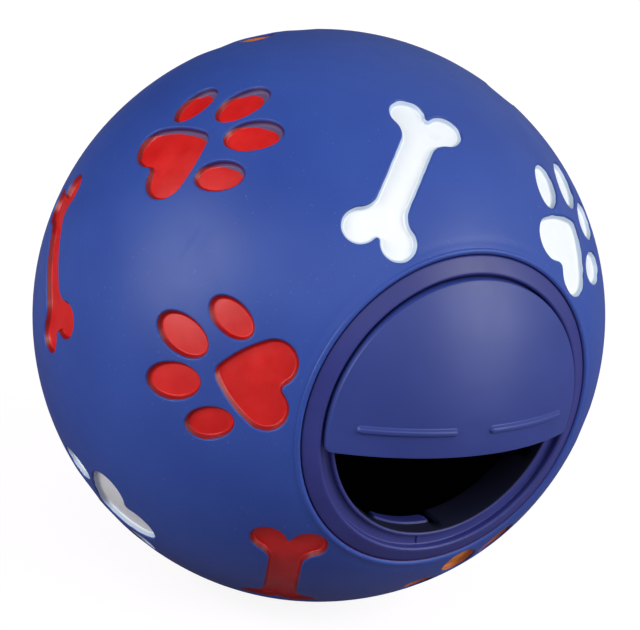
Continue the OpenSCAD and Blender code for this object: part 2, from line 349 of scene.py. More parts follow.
def bone_outline(inset):
    knob = (KNOB_APART / 2, BONE_LEN / 2)
    flare_x = SHAFT_W / 2 + SHAFT_FILLET
    flare = (flare_x, knob[1] - rise(KNOB_R + SHAFT_FILLET, flare_x - knob[0]))
    notch = (0, knob[1] + rise(KNOB_R + NOTCH_FILLET, knob[0]))
    start, end = heading(knob, flare), heading(knob, notch)
    edge = SHAFT_W / 2 - inset
    steps = ceil(flare[1] / OUTLINE_STEP)
    quarter = [(edge, flare[1] * i / steps) for i in range(steps)]
    quarter += arc(flare, SHAFT_FILLET + inset, 180, start + 180, SHAFT_FILLET)
    quarter += arc(knob, KNOB_R - inset, start, end, KNOB_R)[1:]
    quarter += arc(notch, NOTCH_FILLET + inset, end - 180, -90, NOTCH_FILLET)[1:]
    top = quarter + [(-x, y) for x, y in quarter[-2:0:-1]]
    return top + [(-x, -y) for x, y in top]


TOE_OUTLINES = [toe_outline(toe, side) for toe in (TOE, OUTER_TOE) for side in (-1, 1)]
PAW_OUTLINES = [pad_outline] + TOE_OUTLINES


def place_frame(place, reach):
    """Frame of a motif: its +Z points out of the ball at this place."""
    beside = asin(MOUTH_R / BALL_R) + asin(reach / BALL_R)
    return (
        MOUTH_FRAME
        @ Matrix.Rotation(2 * pi * place[0], 4, "Z")
        @ Matrix.Rotation(beside + (pi - beside) * place[1], 4, "Y")
        @ Matrix.Rotation(2 * pi * place[2], 4, "Z")
    )


# The ball's outside: nearly a sphere, with a faint furrow round the bead and slight unevenness

FURROW_AT = 42.5
FURROW_WIDE = 0.8
FURROW_DEEP = 0.10
UNEVEN = 0.10
UNEVEN_SCALE = 2.1
UNEVEN_SHIFT = Vector((3.1, 7.7, 1.3))
# Beside the mouth the unevenness sets in at this radius, over this distance
UNEVEN_FROM, UNEVEN_OVER = 42.0, 8.0
# Step in radians over which the skin's slope is taken
SLOPE_STEP = 0.004


def skin_radius(p):
    """Distance of the skin from the centre in the direction p."""
    out = -p.y
    r = BALL_R
    if out > 0:
        at = BALL_R * sqrt(max(0.0, 1 - out * out))
        r -= FURROW_DEEP * exp(-(((at - FURROW_AT) / FURROW_WIDE) ** 2))
        share = min(1.0, max(0.0, (at - UNEVEN_FROM) / UNEVEN_OVER))
    else:
        share = 1.0
    r += UNEVEN * share * (noise.noise(p * UNEVEN_SCALE + UNEVEN_SHIFT) - 0.5)
    return min(r, BALL_R)


def skin_point(p):
    """A point of the skin and its normal in the direction p."""
    side = p.orthogonal().normalized()
    other = p.cross(side)
    r = skin_radius(p)
    ru = skin_radius((p + side * SLOPE_STEP).normalized())
    rv = skin_radius((p + other * SLOPE_STEP).normalized())
    run = SLOPE_STEP * r
    normal = p - side * ((ru - r) / run) - other * ((rv - r) / run)
    return p * r, normal.normalized()


def plan_direction(frame_matrix, x, y):
    """Direction from the centre to the place (x, y) of a motif's plan."""
    v = Vector((x, y, rise(BALL_R, hypot(x, y)))) / BALL_R
    return (frame_matrix.to_3x3() @ v).normalized()


def rounded_step(depth, slope, top_r, foot_r, steps):
    """Cross-section of a pocket's wall: (offset outwards, depth, tilt of the normal in radians).

    It runs from the skin over the rounded rim, down the sloping wall and round into the floor.
    The offset is 0 where the rim's rounding ends and the wall begins.
    """
    a = radians(slope)
    points = []
    for i in range(steps + 1):
        t = a * i / steps
        points.append((top_r * (sin(a) - sin(t)), top_r * (1 - cos(t)), t))
    top_drop = top_r * (1 - cos(a))
    foot_drop = foot_r * (1 - cos(a))
    run = (depth - top_drop - foot_drop) / tan(a)
    points.append((-run / 2, (top_drop + depth - foot_drop) / 2, a))
    for i in range(steps + 1):
        t = a * (1 - i / steps)
        x = -run - foot_r * (sin(a) - sin(t))
        points.append((x, depth - foot_r * (1 - cos(t)), t))
    return points


# A pocket's wall: its slope in degrees, the radii of its rim and foot, and their steps
WALL_SLOPE, WALL_RIM_R, WALL_FOOT_R, WALL_STEPS = 58, 0.4, 0.3, 4
WALL = rounded_step(POCKET_DEPTH, WALL_SLOPE, WALL_RIM_R, WALL_FOOT_R, WALL_STEPS)
# Offsets of the cross-section's ends, and the points where its straight part begins and ends
RIM = WALL[0][0]
FLOOR_EDGE = WALL[-1][0]
WALL_TOP = WALL[WALL_STEPS]
WALL_LOW = WALL[WALL_STEPS + 2]


def floor_points(outline, inset):
    """The edge of a pocket's floor, and places inside it on a grid of triangles."""
    edge = outline(inset)
    inner = outline(inset + FLOOR_CLEAR * FLOOR_SPACING)
    xs = [p[0] for p in edge]
    ys = [p[1] for p in edge]
    out = []
    row = 0
    y = min(ys)
    while y < max(ys):
        x = min(xs) + (FLOOR_SPACING / 2 if row % 2 else 0)
        while x < max(xs):
            if in_polygon(x, y, inner):
                out.append((x, y))
            x += FLOOR_SPACING
        y += FLOOR_SPACING * ROW_SHARE
        row += 1
    return edge, out


def motif_list():
    """Each pocket: its colour, frame and outline function."""
    out = []
    kinds = (
        (PAW_SHARES, LOBE[1] + LOBE[2], PAW_OUTLINES),
        (BONE_SHARES, BONE_LEN / 2 + KNOB_R, [bone_outline]),
    )
    for shares, reach, outlines in kinds:
        for colour, places in shares.items():
            for place in places:
                matrix = place_frame(place, reach)
                out.extend((colour, matrix, outline) for outline in outlines)
    return out


def pocket_point(matrix, here, ahead, depth, tilt):
    """Point and normal of a pocket at a place of its plan. ahead lies just outwards of it."""
    p = plan_direction(matrix, *here)
    skin, normal = skin_point(p)
    outward = (plan_direction(matrix, *ahead) - p).normalized()
    inward = -(outward - normal * outward.dot(normal)).normalized()
    tilted = (normal * cos(tilt) + inward * sin(tilt)).normalized()
    return skin - normal * depth, tilted


def pocket_ring(matrix, outline, offset, depth, tilt):
    """Points and normals of one ring of a pocket."""
    pairs = zip(outline(-offset), outline(-offset - AHEAD))
    made = [pocket_point(matrix, here, ahead, depth, tilt) for here, ahead in pairs]
    return [point for point, _ in made], [normal for _, normal in made]


def fill_pocket(shape, matrix, outline, inset, depth, edge_ids, facing_out=True):
    """Floor of a pocket inside its last ring, with exact normals if it faces out."""
    edge, inner = floor_points(outline, inset)
    made = [skin_point(plan_direction(matrix, x, y)) for x, y in inner]
    normals = [normal for _, normal in made] if facing_out else None
    ids = edge_ids + shape.add([skin - normal * depth for skin, normal in made], normals)
    triangulate(shape, edge + inner, ids, [list(range(len(edge)))])


def in_mouth(x, y, z):
    """Point of the mouth's frame in the part's frame."""
    return MOUTH_FRAME @ Vector((x, y, z))


def round_mouth(r, a, z):
    """Point at the angle a round the mouth's axis."""
    return in_mouth(r * cos(a), r * sin(a), z)


# Steps of the bead's round and of the ball's inside, and where the inside's even steps begin
BEAD_STEPS, INSIDE_STEPS = 10, 44
INSIDE_FROM = 47.6


def mouth_profile():
    """Cross-section of the ball at the mouth, from the skin in to the ball's inside."""
    foot_z = rise(BALL_R, BEAD_FOOT)
    start = atan2(foot_z - BEAD_Z, BEAD_FOOT - BEAD_MID)
    reach = hypot(foot_z - BEAD_Z, BEAD_FOOT - BEAD_MID)
    profile = []
    for i in range(1, BEAD_STEPS + 1):
        t = i / BEAD_STEPS
        a = start + (pi - start) * t
        r = reach + (BEAD_R - reach) * min(1, 3 * t)
        profile.append((BEAD_MID + r * cos(a), BEAD_Z + r * sin(a)))
    seat = rise(SEAT_S, MOUTH_R)
    # The seat, the collar and its end, with their corners cut off
    profile += [
        (BEAD_MID - BEAD_R, seat + 0.5), (BEAD_MID - BEAD_R - 0.1, seat + 0.05),
        *((r, rise(SEAT_S, r)) for r in (38.5, 37.3, SEAT_R + 0.2)),
        (SEAT_R, rise(SEAT_S, SEAT_R) - 0.2), (SEAT_R - 0.1, SEAT_Z + 0.1),
        (SEAT_R - 0.3, SEAT_Z), (COLLAR_R + 0.4, SEAT_Z), (COLLAR_R + 0.1, SEAT_Z - 0.1),
        (COLLAR_R, SEAT_Z - 0.5), (COLLAR_R, COLLAR_END + 0.5),
        (COLLAR_R + 0.15, COLLAR_END + 0.15), (COLLAR_R + 0.5, COLLAR_END),
        (COLLAR_R + 3.0, COLLAR_END), (COLLAR_R + 3.4, COLLAR_END + 0.15),
    ]
    climb = rise(INNER_R, UNDER_TO) - UNDER_DROP - COLLAR_END
    for r in (40.0, 42.6, 44.4):
        profile.append((r, COLLAR_END + climb * (r - UNDER_FROM) / (UNDER_TO - UNDER_FROM)))
    profile += [(45.6, rise(INNER_R, 45.6) - UNDER_DROP / 2), (46.8, rise(INNER_R, 46.8))]
    angle = asin(INSIDE_FROM / INNER_R)
    for i in range(INSIDE_STEPS):
        a = angle + (pi - angle) * i / INSIDE_STEPS
        profile.append((INNER_R * sin(a), INNER_R * cos(a)))
    return profile


def lathe(shape, profile):
    """Rows of points round the mouth's axis, one for each (radius, height)."""
    angles = [2 * pi * i / TURNS for i in range(TURNS)]
    return [shape.add([round_mouth(r, a, z) for a in angles]) for r, z in profile]


def chart_point(p):
    """Stereographic place of a direction, seen from the mouth."""
    scale = 1 / (1 + p.y)
    return (p.x * scale, p.z * scale)


# Rings of skin points round the bead: radii, spacing, clearance, and from where they stagger
BEAD_RINGS = (41.45, 41.75, 42.1, 42.5, 42.9, 43.3, 43.8, 44.5)
RING_SPACING, RING_CLEAR, RING_STAGGER_FROM = 1.1, 0.22, 42
# Skin points on a spiral over the ball: number, clearance, and radius of the mouth's gap
SKIN_POINTS, SKIN_CLEAR, SKIN_FROM = 13500, 1.1, 45.4
# Cosine of an angle within which every motif's outline lies
NEAR_MOTIF = 0.94


def make_ball_skin(material):
    shape = Shape()
    ids, chart, directions = [], [], []

    def enter(direction, point, normal):
        """Adds a point of the skin and gives its place in the chart."""
        directions.append(direction)
        chart.append(chart_point(direction))
        ids.extend(shape.add([point], [normal]))
        return len(ids) - 1

    rim = []
    for i in range(TURNS):
        p = round_mouth(BEAD_FOOT, 2 * pi * i / TURNS, rise(BALL_R, BEAD_FOOT)).normalized()
        rim.append(enter(p, *skin_point(p)))
    loops = [rim]

    pockets = motif_list()
    for _, matrix, outline in pockets:
        points, normals = pocket_ring(matrix, outline, RIM, 0, 0)
        edge = [enter(p.normalized(), p, n) for p, n in zip(points, normals)]
        loops.append(edge)
        rows = [[ids[i] for i in edge]]
        for offset, depth, tilt in WALL[1:]:
            rows.append(shape.add(*pocket_ring(matrix, outline, offset, depth, tilt)))
        shape.loft(rows)
        fill_pocket(shape, matrix, outline, -FLOOR_EDGE, POCKET_DEPTH, rows[-1])

    tree = KDTree(len(directions))
    for i, p in enumerate(directions):
        tree.insert(p, i)
    tree.balance()
    rims = [(matrix.to_3x3().transposed(), outline(-RIM)) for _, matrix, outline in pockets]

    def scatter(p, clear):
        """Adds the point in the direction p if it is clear of edges and outside every pocket."""
        if tree.find(p)[2] * BALL_R < clear:
            return
        for turn, polygon in rims:
            q = turn @ p
            if q.z > NEAR_MOTIF and in_polygon(q.x * BALL_R, q.y * BALL_R, polygon):
                return
        enter(p, *skin_point(p))

    for r in BEAD_RINGS:
        count = int(2 * pi * r / RING_SPACING)
        for i in range(count):
            a = 2 * pi * (i + 0.5 * (r > RING_STAGGER_FROM)) / count
            scatter(round_mouth(r, a, rise(BALL_R, r)).normalized(), RING_CLEAR)

    golden = pi * (3 - sqrt(5))
    for i in range(SKIN_POINTS):
        h = 1 - 2 * (i + 0.5) / SKIN_POINTS
        r = sqrt(1 - h * h)
        if h > 0 or BALL_R * r >= SKIN_FROM:
            scatter(Vector((r * cos(golden * i), h, r * sin(golden * i))), SKIN_CLEAR)

    triangulate(shape, chart, ids, loops)
    rows = [[ids[i] for i in rim]] + lathe(shape, mouth_profile())
    shape.loft(rows)
    shape.fan(rows[-1], shape.add([in_mouth(0, 0, -INNER_R)])[0])
    shape.build("ball_skin", "ball", "ball_shell", material)


# Paint

# How far the paint stands over the vinyl, and how far its underside is bedded in it
COAT = 0.05
BEDDED = 0.03
# Where each paint's edge lies on the pocket's wall, as shares of the wall from its top
PAINT_EDGE = {"red": 0.12, "white": 0.12, "orange": 0.25}
# How far the edge wavers and how fast, and the lowest that it may lie
PAINT_WAVER, WAVER_SCALE, LOWEST_EDGE = 0.07, 0.45, 0.9
# Distance in the noise from one motif piece to the next
SEED_STEP = 3.7
# Direction in which the walls got less paint, and how much further down it starts there
SHELTERED = Vector((0.50, -0.10, 0.86))
SHELTER_SHARE = {"red": 0.75, "white": 0.1, "orange": 0.5}
# How far the spraying mask of the first paw had slipped away from that direction
MASK_SLIP = 2.0


def wall_at(offset):
    """Depth of a pocket at an offset and the tilt of its surface there."""
    for (x0, d0, t0), (x1, d1, t1) in zip(WALL, WALL[1:]):
        if offset >= x1:
            share = (x0 - offset) / (x0 - x1)
            return d0 + (d1 - d0) * share, t0 + (t1 - t0) * share
    return POCKET_DEPTH, 0.0


def drawn_in(outline, draws):
    """Outline function whose points are drawn in by different amounts."""

    def drawn(inset):
        pairs = zip(outline(inset), outline(inset + 1), draws)
        return [(x + (xi - x) * by, y + (yi - y) * by) for (x, y), (xi, yi), by in pairs]

    return drawn


def paint_plan(matrix, outline, colour, seed, slip):
    """Offsets of a coat's rows, from its edge down to the floor, and how far points draw in."""
    top_offset, low_offset = WALL_TOP[0], WALL_LOW[0]
    top, _ = pocket_ring(matrix, outline, *WALL_TOP)
    low, _ = pocket_ring(matrix, outline, *WALL_LOW)
    edge, draws = [], []
    for a, b in zip(top, low):
        waver = noise.noise(a * WAVER_SCALE + Vector((seed, 0, 0))) * PAINT_WAVER * 2
        lean = max(0.0, (a - b).normalized().dot(SHELTERED))
        share = PAINT_EDGE[colour] + waver + SHELTER_SHARE[colour] * lean * lean
        edge.append(top_offset + (low_offset - top_offset) * min(share, LOWEST_EDGE))
        draws.append(slip * lean * lean)
    rows = [edge] + [[offset] * len(edge) for offset, _, _ in WALL[WALL_STEPS + 2:]]
    return rows, draws


def paint_row(matrix, outline, offsets, draws, lift):
    """Points and normals of one row of a coat, lifted off the pocket's surface."""
    made = []
    for (x, y), (xi, yi), offset, draw in zip(outline(0), outline(1), offsets, draws):
        at = offset - draw
        here = (x - (xi - x) * at, y - (yi - y) * at)
        ahead = (here[0] - (xi - x) * AHEAD, here[1] - (yi - y) * AHEAD)
        made.append(pocket_point(matrix, here, ahead, *wall_at(at)))
    return [point + normal * lift for point, normal in made], [normal for _, normal in made]


def make_paint(colour, material):
    shape = Shape()
    inset = -FLOOR_EDGE
    for number, (this, matrix, outline) in enumerate(motif_list()):
        if this != colour:
            continue
        slip = MASK_SLIP if number < len(PAW_OUTLINES) else 0
        rows, draws = paint_plan(matrix, outline, colour, number * SEED_STEP, slip)
        over, under = [], []
        for offsets in rows:
            over.append(shape.add(*paint_row(matrix, outline, offsets, draws, COAT)))
            under.append(shape.add(paint_row(matrix, outline, offsets, draws, -BEDDED)[0]))
        shape.loft(over)
        shape.loft(under)
        shape.strip(over[0], under[0])
        floor = drawn_in(outline, draws)
        fill_pocket(shape, matrix, floor, inset, POCKET_DEPTH - COAT, over[-1])
        fill_pocket(shape, matrix, floor, inset, POCKET_DEPTH + BEDDED, under[-1], False)
    node = colour + "_paint"
    shape.build(node + "_coat", "ball", node, material)


# Insert and shutter, in the mouth's frame


def rounded(corners):
    """A profile with its corners rounded. Each corner is (radius, height, rounding)."""
    out = []
    count = len(corners)
    for i, (x, y, r) in enumerate(corners):
        if r == 0 or i in (0, count - 1):
            out.append((x, y))
            continue
        here = Vector((x, y))
        back = Vector(corners[i - 1][:2]) - here
        ahead = Vector(corners[i + 1][:2]) - here
        half = back.angle(ahead) / 2
        reach = r / tan(half)
        bisector = (back.normalized() + ahead.normalized()).normalized()
        centre = here + bisector * (r / sin(half))
        a = here + back.normalized() * reach - centre
        b = here + ahead.normalized() * reach - centre
        sweep = atan2(a.x * b.y - a.y * b.x, a.dot(b))
        for k in range(CORNER_STEPS + 1):
            t = sweep * k / CORNER_STEPS
            c, s = cos(t), sin(t)
            out.append((centre.x + a.x * c - a.y * s, centre.y + a.x * s + a.y * c))
    return out


def dome_point(x, y, s):
    """Point over (x, y) of the mouth's plan on a sphere of radius s."""
    return in_mouth(x, y, rise(s, hypot(x, y)))


def dome_normal(x, y, s):
    """Normal of that sphere there."""
    return dome_point(x, y, s).normalized()


def insert_profile():
    """Upper cross-section of the insert, from the barrel's outside over the flange and lip."""
    turns = [pi * i / LIP_STEPS for i in range(LIP_STEPS + 1)]
    return rounded([
        (BARREL_OUT, SLOT_TOP, 0), (BARREL_OUT, GROOVE_BACK, 0.3),
        (GROOVE_OUT, GROOVE_BACK, 0.12), (GROOVE_OUT, rise(FLANGE_BACK, GROOVE_OUT), 0.12),
        *((r, rise(FLANGE_BACK, r), 0) for r in BACK_ROWS),
        (FLANGE_R, rise(FLANGE_BACK, FLANGE_R), 0.3),
        (FLANGE_R, rise(FLANGE_FACE, FLANGE_R), 0.55),
        *((r, rise(FLANGE_FACE, r), 0) for r in FACE_ROWS),
        (GROOVE_R, rise(FLANGE_FACE, GROOVE_R), 0.7), (GROOVE_R, GROOVE_Z, 0.4),
        (LIP_MID + LIP_R, GROOVE_Z, 0.25),
        *((LIP_MID + LIP_R * cos(a), LIP_Z + LIP_R * sin(a), 0) for a in turns),
        (BARREL_R, SLOT_TOP, 0),
    ])


def make_insert(material):
    shape = Shape()
    upper = insert_profile()
    full = rounded([(BARREL_R, SLOT_TOP, 0), (BARREL_R, BARREL_END, 0.3),
                    (BARREL_OUT, BARREL_END, 0.3), (BARREL_OUT, SLOT_TOP, 0)])[1:-1]

    def tab(angle):
        """Wall of a snap tab: it stands inwards of the barrel, and its end's corners are round."""
        to_edge = radians(TAB_HALF - abs(angle)) * BARREL_R
        short = max(0.0, TAB_CORNER - to_edge)
        end = TAB_END + TAB_CORNER - sqrt(TAB_CORNER ** 2 - short ** 2)
        inner = BARREL_R - TAB_SWELL
        return rounded([
            (BARREL_R, SLOT_TOP, 0), (BARREL_R - 0.1, SLOT_TOP - 0.35, 0.2),
            (inner, SLOT_TOP - 0.8, 0.35), (inner, end, 0.35), (BARREL_OUT, end, 0.1),
            (BARB_OUT, BARB_TOP, 0.25), (BARREL_OUT, BARB_TOP, 0.1), (BARREL_OUT, SLOT_TOP, 0)
        ])[1:-1]

    def wall(kind, angle):
        """Wall of the barrel at an angle, which a slot has none of."""
        if kind == "slot":
            return []
        return tab((angle - TAB_TURN + 45) % 90 - 45) if kind == "tab" else full

    # Stations round the axis, each with the kind of wall that follows it
    stations = []
    for quarter in range(4):
        base = 90 * quarter + TAB_TURN
        spans = ((-TAB_HALF, TAB_HALF, "tab"), (TAB_HALF, SLOT_HALF, "slot"),
                 (SLOT_HALF, 90 - SLOT_HALF, "full"), (90 - SLOT_HALF, 90 - TAB_HALF, "slot"))
        for start, end, kind in spans:
            steps = max(2, ceil((end - start) / STATION_STEP))
            for k in range(steps):
                stations.append((base + start + (end - start) * k / steps, kind))

    def column(profile, angle):
        return [round_mouth(r, radians(angle), z) for r, z in profile]

    count = len(stations)
    columns = [shape.add(column(upper, angle)) for angle, _ in stations]
    walls = {}
    for i in range(count):
        j = (i + 1) % count
        shape.strip(columns[i], columns[j], False)
        kind = stations[i][1]
        rows = []
        for k in (i, j):
            if (k, kind) not in walls:
                angle = stations[k][0]
                walls[(k, kind)] = shape.add(column(wall(kind, angle), angle))
            rows.append([columns[k][-1]] + walls[(k, kind)] + [columns[k][0]])
        shape.strip(rows[0], rows[1], False)
        before = stations[i - 1][1]
        if before != kind:
            for this in (kind, before):
                if this != "slot":
                    shape.cap([columns[i][-1]] + walls[(i, this)] + [columns[i][0]])
    add_plate(shape)
    add_gate_stub(shape)
    shape.build("insert_moulding", "ball", "insert_ring", material, sharp=True)


def add_gate_stub(shape):
    """Trimmed stub of the moulding's gate, a low mound across the groove's floor."""
    a = radians(GATE_AT)
    rows = []
    long, wide = GATE_HALF
    for scale, height in GATE_ROWS:
        ring = []
        for k in range(2 * END_STEPS):
            t = pi * k / END_STEPS
            r, across = GATE_R + long * scale * cos(t), wide * scale * sin(t)
            x = r * cos(a) - across * sin(a)
            y = r * sin(a) + across * cos(a)
            ring.append(in_mouth(x, y, GROOVE_Z + height))
        rows.append(shape.add(ring))
    shape.loft(rows)
    shape.cap(rows[0])
    shape.cap(rows[-1])


def half_disc(radius, reach, corner):
    """Outline function of a disc cut by a straight edge, with rounded corners."""
    cy = corner - reach
    cx = sqrt((radius - corner) ** 2 - cy * cy)
    turn = degrees(atan2(cy, cx))
    # A small corner gets the points of one this large
    corner_base = max(corner, 1.2)

    def outline(inset):
        arc_r = corner - inset
        out = arc((0, 0), radius - inset, turn, 180 - turn, radius)
        out += arc((-cx, cy), arc_r, 180 - turn, 270, corner_base)[1:]
        steps = ceil(2 * cx / OUTLINE_STEP)
        edge = inset - reach
        out += [(-cx + 2 * cx * k / steps, edge) for k in range(1, steps)]
        out += arc((cx, cy), arc_r, 270, 360 + turn, corner_base)[:-1]
        return out

    return outline


def stadium(x0, x1, width):
    """Outline function of a straight rib with round ends, from x0 to x1."""
    r = width / 2
    right, left = max(x0, x1) - r, min(x0, x1) + r
    span = right - left
    steps = ceil(span / OUTLINE_STEP)

    def end(x, start, inset):
        turns = [radians(start + 180 * k / END_STEPS) for k in range(END_STEPS + 1)]
        return [(x + (r - inset) * cos(a), (r - inset) * sin(a)) for a in turns]

    def outline(inset):
        out = end(right, -90, inset)
        out += [(right - span * k / steps, r - inset) for k in range(1, steps)]
        out += end(left, 90, inset)
        out += [(left + span * k / steps, inset - r) for k in range(1, steps)]
        return out

    return outline


def circle(radius):
    """Outline function of a circle."""

    def outline(inset):
        turns = [2 * pi * k / CIRCLE_STEPS for k in range(CIRCLE_STEPS)]
        return [((radius - inset) * cos(a), (radius - inset) * sin(a)) for a in turns]

    return outline


def level_ring(shape, outline, inset, z):
    """Ids of an outline's ring at one height."""
    return shape.add([in_mouth(x, y, z) for x, y in outline(inset)])


def dome_ring(shape, outline, inset, s, exact=False):
    """Places and ids of an outline's ring on a sphere of radius s."""
    points = outline(inset)
    normals = [dome_normal(x, y, s) for x, y in points] if exact else None
    return points, shape.add([dome_point(x, y, s) for x, y in points], normals)


def dome_face(shape, s, outer, holes, spacing, height=None):
    """Fills a domed face between rings. outer and holes are (places, ids).

    height gives how far the face stands over the sphere of radius s at a place.
    """
    chart = list(outer[0])
    ids = list(outer[1])
    loops = [list(range(len(chart)))]
    for points, hole_ids in holes:
        loops.append(list(range(len(chart), len(chart) + len(points))))
        chart += points
        ids += hole_ids
    tree = KDTree(len(chart))
    for i, (x, y) in enumerate(chart):
        tree.insert((x, y, 0), i)
    tree.balance()
    polygons = [points for points, _ in holes]
    limit = max(abs(v) for p in outer[0] for v in p)
    steps = ceil(limit / spacing) + 1
    for j in range(-steps, steps + 1):
        for i in range(-steps, steps + 1):
            x = (i + 0.5 * (j % 2)) * spacing
            y = j * spacing * ROW_SHARE
            if not in_polygon(x, y, outer[0]) or any(in_polygon(x, y, q) for q in polygons):
                continue
            if tree.find((x, y, 0))[2] < FACE_CLEAR * spacing:
                continue
            lift = 0
            normal = dome_normal(x, y, s)
            if height:
                lift = height(x, y)
                climbs = (height(x + AHEAD, y) - lift, height(x, y + AHEAD) - lift, 0)
                slope = Vector(climbs) / AHEAD
                normal = (normal - MOUTH_FRAME.to_3x3() @ slope).normalized()
            chart.append((x, y))
            ids += shape.add([dome_point(x, y, s + lift)], [normal])
    triangulate(shape, chart, ids, loops)


def edge_rows(shape, outline, s, thickness, top_r, low_r):
    """Rows of a domed plate's edge, from its top face round to its underside."""
    turns = [pi / 2 * k / EDGE_STEPS for k in range(EDGE_STEPS + 1)]
    path = [(top_r * (1 - sin(a)), top_r * (1 - cos(a))) for a in turns[1:]]
    path.append((0, (top_r + thickness - low_r) / 2))
    path += [(low_r * (1 - cos(a)), thickness - low_r * (1 - sin(a))) for a in turns[:-1]]
    rows = [dome_ring(shape, outline, top_r, s, True)]
    rows += [dome_ring(shape, outline, inset, s - drop) for inset, drop in path]
    rows.append(dome_ring(shape, outline, low_r, s - thickness, True))
    shape.loft([ids for _, ids in rows])
    return rows[0], rows[-1]


def add_plate(shape):
    """The fixed half plate behind the shutter, with its hub."""
    outline = half_disc(PLATE_R, PLATE_REACH, PLATE_CORNER)
    top, low = edge_rows(shape, outline, PLATE_FACE, PLATE_FACE - PLATE_BACK, *PLATE_ROUND)
    bore = circle(HUB_BORE)
    hub = circle(HUB_R)
    bore_top = dome_ring(shape, bore, -0.25, PLATE_FACE)
    hub_foot = dome_ring(shape, hub, -0.4, PLATE_BACK)
    dome_face(shape, PLATE_FACE, top, [bore_top], COARSE)
    dome_face(shape, PLATE_BACK, low, [hub_foot], COARSE)
    face_z = rise(PLATE_FACE, HUB_BORE)
    back_z = rise(PLATE_BACK, HUB_R)
    # Down the bore, round the hub's end and up its outside: (outline, inset, height)
    rings = (
        (bore, -0.07, face_z - 0.08), (bore, 0, face_z - 0.25), (bore, 0, HUB_END + 0.2),
        (bore, -0.2, HUB_END), (hub, 0.25, HUB_END), (hub, 0.07, HUB_END + 0.07),
        (hub, 0, HUB_END + 0.25), (hub, 0, back_z - 0.4), (hub, -0.12, back_z - 0.12),
    )
    shape.loft([bore_top[1]] + [level_ring(shape, *ring) for ring in rings] + [hub_foot[1]])


def make_shutter(material):
    shape = Shape()
    outline = half_disc(SHUTTER_R, SHUTTER_REACH, SHUTTER_CORNER)
    top, low = edge_rows(shape, outline, BALL_R, SHUTTER_T, *SHUTTER_ROUND)
    ribs = []
    for side in (-1, 1):
        rib = stadium(side * RIB_FROM, side * (RIB_FROM + RIB_LEN), RIB_W)
        base = dome_ring(shape, rib, -0.3, BALL_R, True)
        ribs.append(base)
        flank = [dome_ring(shape, rib, inset, BALL_R + height)[1] for inset, height in RIB_FLANK]
        crest = dome_ring(shape, rib, CREST_INSET, BALL_R + RIB_H - CREST_DROP)
        shape.loft([base[1], *flank, crest[1]])
        triangulate(shape, crest[0], crest[1], [list(range(len(crest[0])))])

    def sink(x, y):
        return -SINK_DEPTH * exp(-(x * x + y * y) / SINK_SPREAD)

    dome_face(shape, BALL_R, top, ribs, FINE, sink)
    pin = circle(PIN_R)
    foot = dome_ring(shape, pin, -0.4, BALL_R - SHUTTER_T)
    dome_face(shape, BALL_R - SHUTTER_T, low, [foot], COARSE)
    under = rise(BALL_R - SHUTTER_T, PIN_R)
    rows = [foot[1]]
    for inset, z in ((-0.12, under - 0.1), (0, under - 0.4), (0, SLIT_TOP)):
        rows.append(level_ring(shape, pin, inset, z))
    shape.loft(rows)
    shape.cap(rows[-1])
    # The two springy halves of the pin's end
    profile = [(PIN_R, SLIT_TOP + 0.4), (PIN_R, HEAD_Z + 0.05), (HEAD_R - 0.1, HEAD_Z),
               (HEAD_R, HEAD_Z - 0.12), (PIN_R - 0.2, HEAD_Z - HEAD_H + 0.15),
               (PIN_R - 0.4, HEAD_Z - HEAD_H)]
    for side in (0, pi):
        rows = []
        for r, z in profile:
            half = acos(SLIT_W / 2 / r)
            turns = [side - half + half * k / END_STEPS for k in range(2 * END_STEPS + 1)]
            rows.append(shape.add([round_mouth(r, a, z) for a in turns]))
        shape.loft(rows)
        shape.cap(rows[0])
        shape.cap(rows[-1])
    shape.build("shutter_disc", "shutter", "shutter", material, sharp=True)


# Materials


def set_inputs(node, **values):
    """Sets a node's sockets. A socket's name has _ for each space."""
    for key, value in values.items():
        node.inputs[key.replace("_", " ")].default_value = value


def add_node(tree, kind, **values):
    """Adds a shader node of this kind and sets its sockets."""
    node = tree.nodes.new("ShaderNode" + kind)
    set_inputs(node, **values)
    return node


